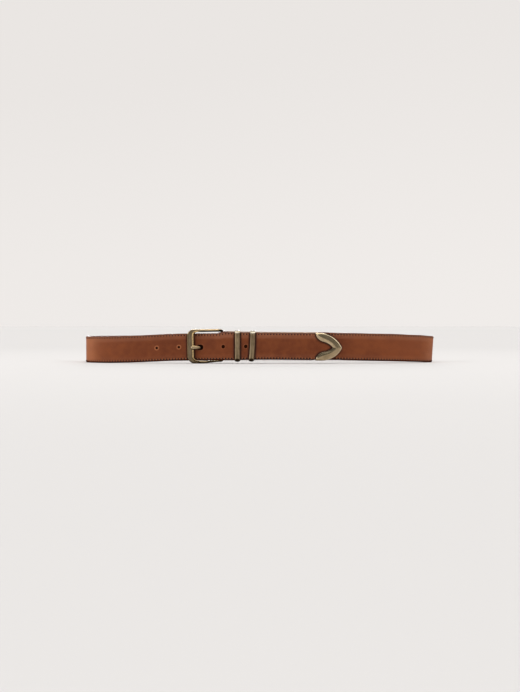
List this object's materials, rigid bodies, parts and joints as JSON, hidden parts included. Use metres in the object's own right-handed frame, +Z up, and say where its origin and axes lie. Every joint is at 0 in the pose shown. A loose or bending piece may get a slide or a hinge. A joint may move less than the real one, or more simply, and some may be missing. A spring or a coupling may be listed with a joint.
{
  "type": "buckled leather belt",
  "caption": "Brown leather belt buckled into an open loop, with a brass frame buckle, tongue, keepers and a pointed metal tip on the strap end.",
  "frame": {"origin": "under the middle of the whole belt, on the surface it stands on", "axes": "+X along the front to the viewer's right, from the buckle to the tip; +Y away from the viewer to the back of the loop; +Z up the width of the strap"},
  "size_m": [0.3989, 0.1179, 0.0382],
  "materials": {
    "leather": "matte brushed brown, stitched along both edges",
    "antique_brass": "brushed and darkened"
  },
  "bodies": {
    "root": {"strap": "leather", "buckle_frame": "antique_brass", "tongue": "antique_brass", "keeper_1": "antique_brass", "keeper_2": "antique_brass", "tip": "antique_brass"}
  },
  "joints": []
}
